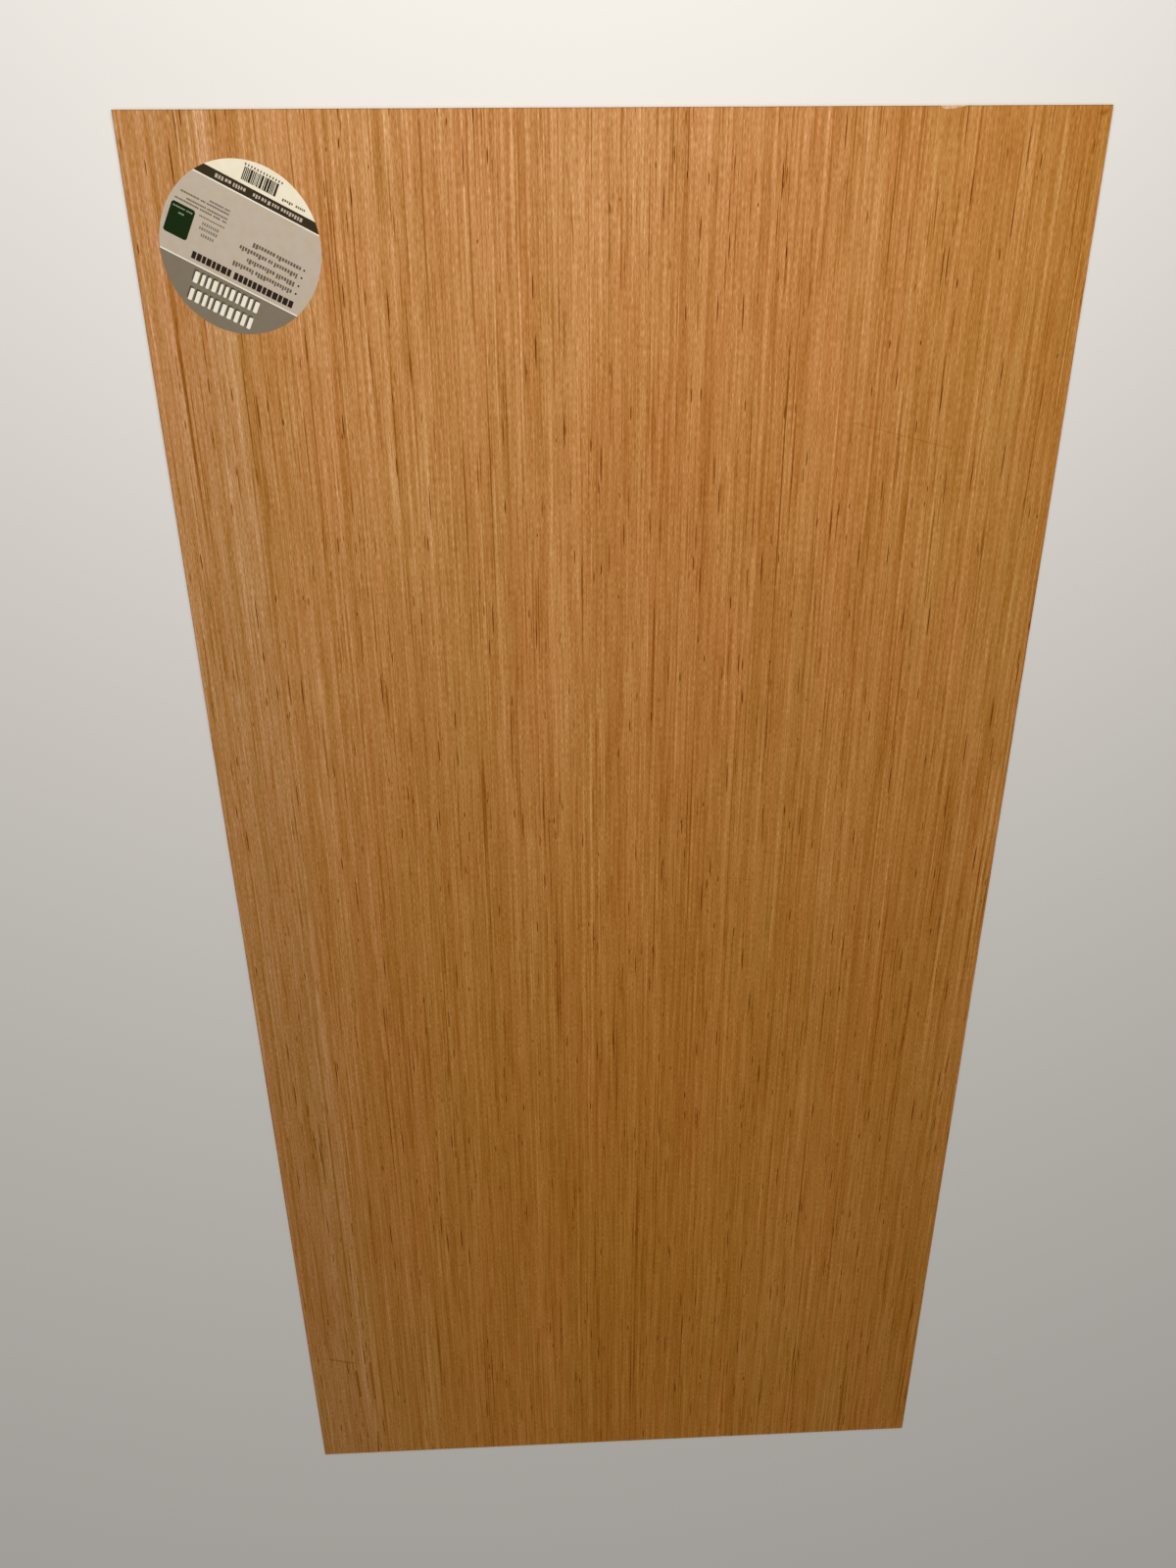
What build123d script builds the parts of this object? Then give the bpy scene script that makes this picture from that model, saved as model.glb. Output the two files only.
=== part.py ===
from build123d import *
import os

# Sheet: sawn square, grain along its length, edges lightly broken
sheet_width = 610.0
sheet_length = 1220.0
sheet_thickness = 3.6
arris_chamfer = 0.2
face_veneer = 0.5

# Round paper label near one corner of the face, placed by the gaps from its rim to the edges
label_diameter = 100.0
label_thickness = 0.12
label_gap_side = 16.8
label_gap_end = 26.0

# Tear-out on the arris of the labelled end: steep at one end, fading out at the other
chip_length = 18.0
chip_reach = 2.2
chip_steep_run = 3.0
chip_hollow = 0.5
chip_from_side = 90.5

# Split along the grain that opens at the far end
split_length = 24.0
split_width = 1.2
split_lean = 0.6
split_from_side = 56.0

# How far the cutting outlines run past the edge of the sheet
cut_past_edge = 1.0

# The origin is the middle of the underside: X across the grain, Y along it, Z up out of the labelled face
side = sheet_width / 2
end = sheet_length / 2
veneer_floor = sheet_thickness - face_veneer
label_x = label_gap_side + label_diameter / 2 - side
label_y = end - label_gap_end - label_diameter / 2
chip_x1 = side - chip_from_side
chip_x0 = chip_x1 - chip_length
split_x = split_from_side - side

os.makedirs("parts", exist_ok=True)

# One solid slab with its arrises broken, then the two places where the face veneer has given way
with BuildPart() as plywood_sheet:
    with BuildSketch():
        Rectangle(sheet_width, sheet_length)
    extrude(amount=sheet_thickness)
    broad_faces = plywood_sheet.faces().filter_by(Axis.Z)
    chamfer(broad_faces.edges(), length=arris_chamfer)

    # The tear-out is as deep as the face veneer, because the fibres lift off at the glue line
    with BuildSketch(Plane.XY.offset(veneer_floor)):
        with BuildLine():
            Polyline(
                (chip_x1, end),
                (chip_x1, end + cut_past_edge),
                (chip_x0, end + cut_past_edge),
                (chip_x0, end),
                (chip_x0 + chip_steep_run, end - chip_reach),
            )
            SagittaArc((chip_x0 + chip_steep_run, end - chip_reach), (chip_x1, end), -chip_hollow)
        make_face()
    extrude(amount=face_veneer, mode=Mode.SUBTRACT)

    # The split is a wedge that closes to a point up the grain
    with BuildSketch(Plane.XY.offset(veneer_floor)):
        with BuildLine():
            Polyline(
                (split_x - split_width / 2, -end - cut_past_edge),
                (split_x - split_width / 2, -end),
                (split_x + split_lean, split_length - end),
                (split_x + split_width / 2, -end),
                (split_x + split_width / 2, -end - cut_past_edge),
                close=True,
            )
        make_face()
    extrude(amount=face_veneer, mode=Mode.SUBTRACT)

plywood_sheet.part.label = "plywood_sheet"
export_step(plywood_sheet.part, "parts/plywood_sheet.step")

# The label lies on the face, all of it inside the sheet's outline
with BuildPart() as paper_label:
    with BuildSketch(Plane.XY.offset(sheet_thickness)):
        with Locations((label_x, label_y)):
            Circle(label_diameter / 2)
    extrude(amount=label_thickness)

paper_label.part.label = "paper_label"
export_step(paper_label.part, "parts/paper_label.step")
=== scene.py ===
"""Dresses a flat plywood sheet: its face and back veneers, its sawn edges and the round label on its face.

Lengths are in metres, unless a name says otherwise. Places are in the sheet's own frame: X across the grain,
Y along it towards the labelled end, and Z up out of the labelled face. The sheet lies on the floor at Z = 0.
"""

import logging
import math
import random
from dataclasses import dataclass, field
from enum import Enum
from typing import Iterator

import bmesh
import bpy
from mathutils import Matrix, Vector
from mathutils.geometry import delaunay_2d_cdt


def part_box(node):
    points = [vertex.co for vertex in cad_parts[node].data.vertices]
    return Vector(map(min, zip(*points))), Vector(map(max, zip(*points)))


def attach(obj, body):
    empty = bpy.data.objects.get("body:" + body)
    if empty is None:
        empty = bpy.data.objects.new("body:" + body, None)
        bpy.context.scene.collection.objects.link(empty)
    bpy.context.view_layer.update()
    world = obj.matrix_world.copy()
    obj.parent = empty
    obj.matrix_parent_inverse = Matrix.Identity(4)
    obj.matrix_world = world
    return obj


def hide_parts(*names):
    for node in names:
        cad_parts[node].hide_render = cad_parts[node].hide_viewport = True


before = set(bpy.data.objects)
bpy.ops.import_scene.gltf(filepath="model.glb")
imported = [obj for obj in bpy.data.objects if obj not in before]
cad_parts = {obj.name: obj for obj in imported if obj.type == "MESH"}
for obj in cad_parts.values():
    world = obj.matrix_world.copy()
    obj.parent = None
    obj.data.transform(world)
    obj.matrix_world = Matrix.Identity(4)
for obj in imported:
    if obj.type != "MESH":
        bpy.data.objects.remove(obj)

MM = 0.001
BODY = "root"
SHEET_NODE = "plywood_sheet"
LABEL_NODE = "paper_label"
BAKE_MAP = "OFBake"
SEED_STRIDE_ACROSS = 7.13
SEED_STRIDE_ALONG = 3.71
SEED_STRIDE_LANES = 17.3
LANE_START_SPREAD = 9.7
DOT_CORNERS = 10
TILES_INSIDE_OUTLINES = 1
TILE_MERGE_GAP = 1e-5

Socket = bpy.types.NodeSocket
Colour = tuple[float, float, float, float]
Feed = float | Colour | Vector | Socket
Point = tuple[float, float]
Columns = list[list[bmesh.types.BMVert]]

log = logging.getLogger("plywood_sheet")


def screen_colour(red: int, green: int, blue: int) -> Colour:
    """Turn a screen colour into the linear colour that a shader takes.

    Args:
        red: The red share, 0 to 255.
        green: The green share, 0 to 255.
        blue: The blue share, 0 to 255.

    Returns:
        The linear red, green, blue and alpha.
    """
    straight_up_to, straight_slope, offset, power = 0.04045, 12.92, 0.055, 2.4

    def linear(share: int) -> float:
        """Undo the screen's curve for one channel."""
        level = share / 255
        if level <= straight_up_to:
            return level / straight_slope
        return ((level + offset) / (1 + offset)) ** power

    return linear(red), linear(green), linear(blue), 1.0


class Wiring:
    """Adds nodes to one node tree and links their sockets."""

    def __init__(self, tree: bpy.types.NodeTree) -> None:
        """Keep the tree that the nodes go into."""
        self.tree = tree

    def node(self, kind: str, **settings: object) -> bpy.types.Node:
        """Add a node.

        Args:
            kind: The node's type name.
            **settings: Properties to set on it.

        Returns:
            The new node.
        """
        made = self.tree.nodes.new(kind)
        for name, value in settings.items():
            setattr(made, name, value)
        return made

    def feed(self, socket: Socket, value: Feed) -> None:
        """Link a source to a socket, or set the socket's own value."""
        if isinstance(value, bpy.types.NodeSocket):
            self.tree.links.new(value, socket)
        else:
            socket.default_value = value

    def maths(self, operation: str, first: Feed, second: Feed = 0.0) -> Socket:
        """Combine two numbers.

        Args:
            operation: The Math node's operation.
            first: The first number.
            second: The second number, where the operation takes one.

        Returns:
            The result's socket.
        """
        made = self.node("ShaderNodeMath", operation=operation)
        self.feed(made.inputs[0], first)
        self.feed(made.inputs[1], second)
        return made.outputs[0]

    def vector_maths(self, operation: str, first: Feed, second: Feed) -> Socket:
        """Combine two vectors, or scale a vector by a number.

        Args:
            operation: The Vector Math node's operation.
            first: The first vector.
            second: The second vector, or the number to scale by.

        Returns:
            The result's socket, a number for a dot product or a distance.
        """
        made = self.node("ShaderNodeVectorMath", operation=operation)
        self.feed(made.inputs[0], first)
        self.feed(made.inputs["Scale" if operation == "SCALE" else 1], second)
        return made.outputs["Value" if operation in ("DOT_PRODUCT", "DISTANCE") else "Vector"]

    def in_mm(self, length: Feed) -> Socket:
        """Turn metres into millimetres."""
        return self.maths("DIVIDE", length, MM)

    def growth(self, exponent: Feed) -> Socket:
        """Raise e to a power."""
        return self.maths("POWER", math.e, exponent)

    def total(self, *parts: Feed) -> Socket:
        """Add up any count of numbers."""
        result = parts[0]
        for part in parts[1:]:
            result = self.maths("ADD", result, part)
        return result

    def product(self, *parts: Feed) -> Socket:
        """Multiply any count of numbers."""
        result = parts[0]
        for part in parts[1:]:
            result = self.maths("MULTIPLY", result, part)
        return result

    def remap(self, value: Feed, low: Feed, high: Feed, to_low: Feed = 0.0, to_high: Feed = 1.0) -> Socket:
        """Map a range of numbers onto another with soft ends.

        Args:
            value: The number to map.
            low: The number that gives to_low.
            high: The number that gives to_high.
            to_low: The result at low.
            to_high: The result at high.

        Returns:
            The mapped number's socket.
        """
        made = self.node("ShaderNodeMapRange", interpolation_type="SMOOTHSTEP")
        for name, number in (("Value", value), ("From Min", low), ("From Max", high),
                             ("To Min", to_low), ("To Max", to_high)):
            self.feed(made.inputs[name], number)
        return made.outputs["Result"]

    def split(self, vector: Feed) -> tuple[Socket, Socket, Socket]:
        """Take a vector apart into its three numbers."""
        made = self.node("ShaderNodeSeparateXYZ")
        self.feed(made.inputs[0], vector)
        return made.outputs["X"], made.outputs["Y"], made.outputs["Z"]

    def join(self, x: Feed, y: Feed, z: Feed = 0.0) -> Socket:
        """Put three numbers together into a vector."""
        made = self.node("ShaderNodeCombineXYZ")
        for socket, value in zip(made.inputs, (x, y, z), strict=True):
            self.feed(socket, value)
        return made.outputs[0]

    def noise(self, vector: Feed, detail: float = 1.0) -> Socket:
        """Sample smooth flat noise.

        Args:
            vector: Where to sample it, one unit to a feature.
            detail: How many finer layers it has.

        Returns:
            Its value from 0 to 1, mostly near one half.
        """
        made = self.node("ShaderNodeTexNoise", noise_dimensions="2D")
        self.feed(made.inputs["Vector"], vector)
        made.inputs["Scale"].default_value = 1.0
        made.inputs["Detail"].default_value = detail
        made.inputs["Roughness"].default_value = 0.5
        return made.outputs["Fac"]

    def cell(self, value: Feed) -> tuple[Socket, Socket]:
        """Cut a number into the whole number of its cell and the share of the cell that it has crossed."""
        number = self.maths("FLOOR", value)
        return number, self.maths("SUBTRACT", value, number)

    def draws(self, first: Feed, second: Feed = 0.0) -> tuple[Socket, Socket, Socket]:
        """Draw three random numbers from 0 to 1 for a pair of cell numbers."""
        made = self.node("ShaderNodeTexWhiteNoise", noise_dimensions="2D")
        self.feed(made.inputs["Vector"], self.join(first, second))
        return self.split(made.outputs["Color"])

    def mix(self, share: Feed, first: Feed, second: Feed) -> Socket:
        """Blend two colours."""
        made = self.node("ShaderNodeMix", data_type="RGBA")
        colours = [s for s in made.inputs if s.type == "RGBA"]
        self.feed(made.inputs["Factor"], share)
        self.feed(colours[0], first)
        self.feed(colours[1], second)
        return next(s for s in made.outputs if s.type == "RGBA")

    def place(self, group: bpy.types.NodeTree, **inputs: Feed) -> dict[str, Socket]:
        """Place a node group.

        Args:
            group: The group to use.
            **inputs: Its inputs by name, with spaces as underscores.

        Returns:
            Its outputs by name.
        """
        made = self.node("ShaderNodeGroup")
        made.node_tree = group
        for name, value in inputs.items():
            self.feed(made.inputs[name.replace("_", " ")], value)
        return {s.name: s for s in made.outputs}

    def bump(self, height: Feed, depth: float) -> Socket:
        """Turn a height into a normal.

        Args:
            height: The height, where 1 is one depth up.
            depth: The relief's depth.

        Returns:
            The normal's socket.
        """
        made = self.node("ShaderNodeBump")
        made.inputs["Strength"].default_value = 1.0
        made.inputs["Distance"].default_value = depth
        self.feed(made.inputs["Height"], height)
        return made.outputs["Normal"]


class Kind(Enum):
    """The socket types that the node groups use."""

    NUMBER = "NodeSocketFloat"
    VECTOR = "NodeSocketVector"
    COLOUR = "NodeSocketColor"


class Effect:
    """A shader node group that several finishes share, with named inputs and outputs."""

    def __init__(self, name: str, inputs: dict[str, Kind], outputs: dict[str, Kind]) -> None:
        """Make the empty group and its sockets.

        Args:
            name: The group's name.
            inputs: Its input names and types.
            outputs: Its output names and types.
        """
        self.tree = bpy.data.node_groups.new(name, "ShaderNodeTree")
        for label, kind in inputs.items():
            self.tree.interface.new_socket(label, in_out="INPUT", socket_type=kind.value)
        for label, kind in outputs.items():
            self.tree.interface.new_socket(label, in_out="OUTPUT", socket_type=kind.value)
        self.wiring = Wiring(self.tree)
        self.given = {s.name: s for s in self.wiring.node("NodeGroupInput").outputs}
        self.results = self.wiring.node("NodeGroupOutput")

    def give(self, **results: Feed) -> bpy.types.NodeTree:
        """Link the group's outputs.

        Args:
            **results: The outputs by name, with spaces as underscores.

        Returns:
            The finished group.
        """
        for name, value in results.items():
            self.wiring.feed(self.results.inputs[name.replace("_", " ")], value)
        return self.tree


def grain_space() -> bpy.types.NodeTree:
    """Build the effect that turns a place into millimetres across and along the grain.

    Returns:
        The node group, where the grain leans a little and wanders as it runs.
    """
    effect = Effect(
        "grain_space",
        {"Place": Kind.VECTOR, "Lean": Kind.NUMBER, "Wander": Kind.NUMBER},
        {"Grain": Kind.VECTOR},
    )
    w = effect.wiring
    x, y, z = w.split(effect.given["Place"])
    across, along, up = (w.in_mm(number) for number in (x, y, z))
    bends = []
    for width, length, share in ((70.0, 260.0, 1.0), (16.0, 70.0, 0.3)):
        spot = w.join(w.maths("DIVIDE", across, width), w.maths("DIVIDE", along, length))
        bend = w.maths("SUBTRACT", w.noise(spot, detail=0.0), 0.5)
        bends.append(w.product(bend, effect.given["Wander"], 2 * share))
    shear = w.product(along, effect.given["Lean"])
    straight = w.total(w.maths("SUBTRACT", across, shear), *bends)
    return effect.give(Grain=w.join(straight, along, up))


def streaks() -> bpy.types.NodeTree:
    """Build the effect of long fibres that are lighter or darker than their neighbours.

    Returns:
        The node group. Its Level is mostly between -0.5 and 0.5.
    """
    effect = Effect(
        "streaks",
        {"Grain": Kind.VECTOR, "Width": Kind.NUMBER, "Length": Kind.NUMBER, "Seed": Kind.NUMBER},
        {"Level": Kind.NUMBER},
    )
    w, given = effect.wiring, effect.given
    across, along, _ = w.split(given["Grain"])
    spot = w.join(
        w.total(w.maths("DIVIDE", across, given["Width"]), w.product(given["Seed"], SEED_STRIDE_ACROSS)),
        w.total(w.maths("DIVIDE", along, given["Length"]), w.product(given["Seed"], SEED_STRIDE_ALONG)),
    )
    return effect.give(Level=w.product(w.maths("SUBTRACT", w.noise(spot), 0.5), 2.0))


def lane_cells(w: Wiring, given: dict[str, Socket]) -> tuple[Socket, Socket, Socket, Socket]:
    """Cut the wood into lanes side by side, and each lane into cells that start at a place of its own.

    Args:
        w: The effect's wiring.
        given: Its inputs, with Grain, Width, Length and Seed among them.

    Returns:
        The lane's number, the share of its width crossed, the cell's number and the share of its length.
    """
    across, along, _ = w.split(given["Grain"])
    lanes_over = w.maths("DIVIDE", across, given["Width"])
    lane, side = w.cell(w.total(lanes_over, w.product(given["Seed"], SEED_STRIDE_LANES)))
    start = w.product(w.draws(lane, given["Seed"])[0], LANE_START_SPREAD)
    cell, crossed = w.cell(w.total(w.maths("DIVIDE", along, given["Length"]), start))
    return lane, side, cell, crossed


def fibres() -> bpy.types.NodeTree:
    """Build the effect of fibres that lie side by side, each with its own tone that drifts along its length.

    Returns:
        The node group. Its Level is between -1 and 1, with a clean edge between two fibres.
    """
    effect = Effect(
        "fibres",
        {"Grain": Kind.VECTOR, "Width": Kind.NUMBER, "Length": Kind.NUMBER, "Seed": Kind.NUMBER},
        {"Level": Kind.NUMBER},
    )
    w = effect.wiring
    lane, _, cell, crossed = lane_cells(w, effect.given)
    here, ahead = w.draws(lane, cell)[0], w.draws(lane, w.maths("ADD", cell, 1.0))[0]
    drift = w.product(w.maths("SUBTRACT", ahead, here), w.remap(crossed, 0.0, 1.0))
    return effect.give(Level=w.total(here, here, drift, drift, -1.0))


def dashes() -> bpy.types.NodeTree:
    """Build the effect of open pores: short dark dashes that lie along the grain.

    Returns:
        The node group. Width and Length are the most that a dash can have, and Amount is the share of the
        places for one that are taken.
    """
    shortest, faintest, full_within = 0.24, 0.35, 0.2
    effect = Effect(
        "dashes",
        {"Grain": Kind.VECTOR, "Width": Kind.NUMBER, "Length": Kind.NUMBER, "Amount": Kind.NUMBER,
         "Seed": Kind.NUMBER},
        {"Mask": Kind.NUMBER},
    )
    w, given = effect.wiring, effect.given
    lane, side, cell, crossed = lane_cells(w, given)
    chance, size, depth = w.draws(lane, cell)
    length = w.remap(size, 0.0, 1.0, shortest, 1.0)
    from_middle = w.maths("DIVIDE", w.maths("SUBTRACT", crossed, 0.5), w.product(length, 0.5))
    from_side = w.maths("DIVIDE", w.maths("SUBTRACT", side, 0.5), 0.5)
    spread = w.total(w.product(from_middle, from_middle), w.product(from_side, from_side))
    held = w.maths("LESS_THAN", chance, given["Amount"])
    strength = w.remap(depth, 0.0, 1.0, faintest, 1.0)
    return effect.give(Mask=w.product(w.remap(spread, 1.0, full_within), held, strength))


def veneer_tone(
    band: bpy.types.NodeTree, fibre: bpy.types.NodeTree, pore: bpy.types.NodeTree
) -> bpy.types.NodeTree:
    """Build the effect of one sliced veneer: how light and how red it is from place to place, and its pores.

    Args:
        band: The streaks effect.
        fibre: The fibres effect.
        pore: The dashes effect.

    Returns:
        The node group. Tone is 0 on average wood and below 0 where it is darker. Height is below 0 in a pore.
    """
    seed_per_mm, seed_range = 3.1, 5
    pore_tone = -1.7
    effect = Effect(
        "veneer_tone",
        {"Grain": Kind.VECTOR, "Seed": Kind.NUMBER, "Pore Amount": Kind.NUMBER},
        {"Tone": Kind.NUMBER, "Redness": Kind.NUMBER, "Height": Kind.NUMBER},
    )
    w, given = effect.wiring, effect.given

    def level(group: bpy.types.NodeTree, width: float, length: float) -> Socket:
        """Place one layer of bands or fibres, sized in millimetres."""
        shifted = w.maths("ADD", given["Seed"], round(width * seed_per_mm % seed_range, 2))
        return w.place(group, Grain=given["Grain"], Width=width, Length=length, Seed=shifted)["Level"]

    def pores(width: float, length: float, amount: Feed) -> Socket:
        """Place one size of pore, sized in millimetres."""
        share = w.product(given["Pore Amount"], amount)
        shifted = w.maths("ADD", given["Seed"], width)
        placed = w.place(pore, Grain=given["Grain"], Width=width, Length=length, Amount=share, Seed=shifted)
        return placed["Mask"]

    def weighed(group: bpy.types.NodeTree, layers: tuple[tuple[float, float, float], ...]) -> Socket:
        """Add up layers, each given by its width, its length and its weight."""
        return w.total(*(w.product(level(group, width, length), weight) for width, length, weight in layers))

    soft = ((0.5, 4.0, 0.45), (26.0, 330.0, 0.09), (95.0, 600.0, 0.08))
    crisp = ((0.7, 14.0, 0.13), (0.9, 50.0, 0.14), (1.5, 180.0, 0.13), (2.6, 400.0, 0.08), (4.7, 800.0, 0.05))
    reds = ((4.0, 80.0, 0.06), (22.0, 180.0, 0.055), (80.0, 400.0, 0.08))
    patchy = w.remap(level(band, 9.0, 200.0), low=-0.3, high=0.35, to_low=0.3, to_high=1.8)
    bright = w.remap(level(fibre, 0.9, 260.0), low=0.72, high=1.0, to_high=0.2)
    dull = w.total(
        w.remap(level(fibre, 0.8, 50.0), low=0.68, high=1.0, to_high=-0.42),
        w.remap(level(fibre, 1.0, 240.0), low=0.72, high=1.0, to_high=-0.40),
    )
    short = pores(0.9, 12.0, amount=w.product(patchy, 0.006))
    long = pores(1.0, 32.0, amount=w.product(patchy, 0.021))
    open_pores = w.maths("MAXIMUM", short, long)
    lines = w.total(bright, w.product(dull, patchy), w.product(open_pores, pore_tone))
    shade = w.total(weighed(band, soft), weighed(fibre, crisp), lines)
    return effect.give(Tone=shade, Redness=weighed(band, reds), Height=w.product(open_pores, -1.0))


def toned_wood() -> bpy.types.NodeTree:
    """Build the effect that makes a wood's or paper's mean colour darker, lighter, redder or less yellow.

    Returns:
        The node group. As the colour darkens, its blue falls off fastest and its red slowest.
    """
    effect = Effect(
        "toned_wood",
        {"Colour": Kind.COLOUR, "Tone": Kind.NUMBER, "Redness": Kind.NUMBER, "Pallor": Kind.NUMBER},
        {"Colour": Kind.COLOUR},
    )
    w, given = effect.wiring, effect.given
    parts = w.node("ShaderNodeSeparateColor")
    w.feed(parts.inputs[0], given["Colour"])
    joined = w.node("ShaderNodeCombineColor")
    dimness = w.maths("MINIMUM", given["Tone"], 0.0)
    causes = (given["Tone"], dimness, given["Redness"], given["Pallor"])
    red, green, blue = (0.67, 0.0, 0.35, 0.0), (1.0, 0.0, -0.65, 0.12), (2.35, 1.5, -0.3, 1.0)
    for i, shares in enumerate((red, green, blue)):
        change = w.total(*(w.product(cause, share) for cause, share in zip(causes, shares, strict=True)))
        w.feed(joined.inputs[i], w.product(parts.outputs[i], w.growth(change)))
    return effect.give(Colour=joined.outputs[0])


def stroke() -> bpy.types.NodeTree:
    """Build the effect of one straight stroke on a face, such as a scratch.

    Returns:
        The node group. From and Heading are in millimetres, and the mask is 1 along the stroke's middle.
    """
    effect = Effect(
        "stroke",
        {"Place": Kind.VECTOR, "From": Kind.VECTOR, "Heading": Kind.VECTOR, "Length": Kind.NUMBER,
         "Width": Kind.NUMBER},
        {"Mask": Kind.NUMBER},
    )
    w, given = effect.wiring, effect.given
    x, y, _ = w.split(given["Place"])
    offset = w.vector_maths("SUBTRACT", w.join(w.in_mm(x), w.in_mm(y)), given["From"])
    along = w.vector_maths("DOT_PRODUCT", offset, given["Heading"])
    reached = w.maths("MINIMUM", w.maths("MAXIMUM", along, 0.0), given["Length"])
    foot = w.vector_maths("SCALE", given["Heading"], reached)
    gap = w.vector_maths("DISTANCE", offset, foot)
    return effect.give(Mask=w.remap(gap, w.product(given["Width"], 0.5), 0.0))


def paper_fibre() -> bpy.types.NodeTree:
    """Build the effect of uncoated paper: faint clouds of tone and a fine tooth.

    Returns:
        The node group. Tone is near 0 and Height near one half.
    """
    effect = Effect("paper_fibre", {"Place": Kind.VECTOR}, {"Tone": Kind.NUMBER, "Height": Kind.NUMBER})
    w = effect.wiring
    x, y, _ = w.split(effect.given["Place"])

    def cloud(size: float) -> Socket:
        """Sample noise whose features have one size."""
        return w.noise(w.join(w.maths("DIVIDE", x, size), w.maths("DIVIDE", y, size)), detail=2.0)

    grit = cloud(0.5 * MM)
    tone = w.total(w.product(grit, 0.12), w.product(cloud(6 * MM), 0.10), -0.11)
    return effect.give(Tone=tone, Height=grit)


class Effects:
    """The shared node groups, each built once."""

    def __init__(self) -> None:
        """Build every group."""
        self.space = grain_space()
        self.streaks = streaks()
        self.fibres = fibres()
        self.dashes = dashes()
        self.veneer = veneer_tone(self.streaks, self.fibres, self.dashes)
        self.wood = toned_wood()
        self.stroke = stroke()
        self.paper = paper_fibre()


def surface(name: str) -> tuple[bpy.types.Material, Wiring, bpy.types.Node]:
    """Start a material.

    Args:
        name: The material's name.

    Returns:
        The material, its wiring and its Principled shader.
    """
    material = bpy.data.materials.new(name)
    material.use_nodes = True
    shader = material.node_tree.nodes["Principled BSDF"]
    return material, Wiring(material.node_tree), shader


@dataclass(frozen=True)
class Mark:
    """A scratch or a spot on the face. All its sizes are in millimetres.

    Attributes:
        start: Where it starts.
        end: Where it ends.
        width: How wide it is.
        tone: How much lighter it is, or below 0 how much darker.
    """

    start: Point
    end: Point
    width: float
    tone: float

    def mask(self, w: Wiring, effects: Effects, place: Socket) -> Socket:
        """Place the mark in a material.

        Args:
            w: The material's wiring.
            effects: The shared node groups.
            place: The place on the face, in metres.

        Returns:
            What the mark adds to the tone.
        """
        start = Vector(self.start)
        run = Vector(self.end) - start
        drawn = w.place(
            effects.stroke,
            Place=place,
            From=start.to_3d(),
            Heading=run.normalized().to_3d(),
            Length=run.length,
            Width=self.width,
        )
        return w.product(drawn["Mask"], self.tone)


@dataclass(frozen=True)
class Shift:
    """A slow change of the face's colour across the grain; the ones towards the left edge are a painted cool
    sheen.

    Attributes:
        start_mm: Where it starts.
        end_mm: Where it is complete.
        pallor: How much less yellow the face is from there on: towards the left edge a painted cool sheen,
            elsewhere a change in how yellow the wood is.
    """

    start_mm: float
    end_mm: float
    pallor: float


@dataclass(frozen=True)
class VeneerFinish:
    """Sanded, unfinished hardwood veneer, with the marks that handling left on it."""

    name: str
    colour: Colour
    seed: float
    marks: tuple[Mark, ...] = ()
    colour_and_sheen_shifts: tuple[Shift, ...] = ()
    pore_amount: float = 1.0
    lean: float = 0.004
    wander: float = 0.6
    specular: float = 0.05
    lustre: float = 0.38
    lustre_by_tone: float = 2.1
    lustre_roughness: float = 0.45
    pore_depth: float = 0.06 * MM
    rim_mm: float = 1.0
    rim_tone: float = -0.3

    def rim(self, w: Wiring, place: Socket) -> Socket:
        """Darken the face where it meets the edges.

        Args:
            w: The material's wiring.
            place: The place on the face, in metres.

        Returns:
            What the rim adds to the tone.
        """
        lowest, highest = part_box(SHEET_NODE)
        half = (highest - lowest) / 2 / MM
        gaps = []
        for number, reach in zip(w.split(place), half.to_2d()):
            gaps.append(w.maths("SUBTRACT", reach, w.product(w.maths("ABSOLUTE", number), 1 / MM)))
        return w.remap(w.maths("MINIMUM", *gaps), self.rim_mm, 0.0, 0.0, self.rim_tone)

    def build(self, effects: Effects) -> bpy.types.Material:
        """Make the material.

        Args:
            effects: The shared node groups.

        Returns:
            The material.
        """
        material, w, shader = surface(self.name)
        place = w.node("ShaderNodeTexCoord").outputs["Object"]
        grain = w.place(effects.space, Place=place, Lean=self.lean, Wander=self.wander)["Grain"]
        veneer = w.place(effects.veneer, Grain=grain, Seed=self.seed, Pore_Amount=self.pore_amount)
        marks = (mark.mask(w, effects, place) for mark in self.marks)
        tone = w.total(veneer["Tone"], self.rim(w, place), *marks)
        across = w.split(grain)[0]
        # The shifts make the face less or more yellow; towards the left edge this is a painted cool sheen.
        pallor = w.total(0.0, *(w.remap(across, s.start_mm, s.end_mm, 0.0, s.pallor) for s in self.colour_and_sheen_shifts))
        wood = w.place(effects.wood, Colour=self.colour, Tone=tone, Redness=veneer["Redness"], Pallor=pallor)
        sheen = w.product(self.lustre, w.growth(w.product(tone, self.lustre_by_tone)))
        w.feed(shader.inputs["Base Color"], wood["Colour"])
        w.feed(shader.inputs["Roughness"], w.remap(tone, low=-0.4, high=0.3, to_low=0.75, to_high=0.6))
        shader.inputs["Specular IOR Level"].default_value = self.specular
        w.feed(shader.inputs["Coat Weight"], sheen)
        shader.inputs["Coat Roughness"].default_value = self.lustre_roughness
        w.feed(shader.inputs["Normal"], w.bump(veneer["Height"], depth=self.pore_depth))
        return material


class Along(Enum):
    """Which way an edge runs. Its value is the edge's axis."""

    ACROSS_GRAIN = 0
    WITH_GRAIN = 1


@dataclass(frozen=True)
class PlyStack:
    """The sheet's lay-up, up from its underside: back veneer, core and face veneer, with glue between."""

    veneer_mm: float = 0.5
    core_mm: float = 2.6
    glue_mm: float = 0.11


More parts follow.
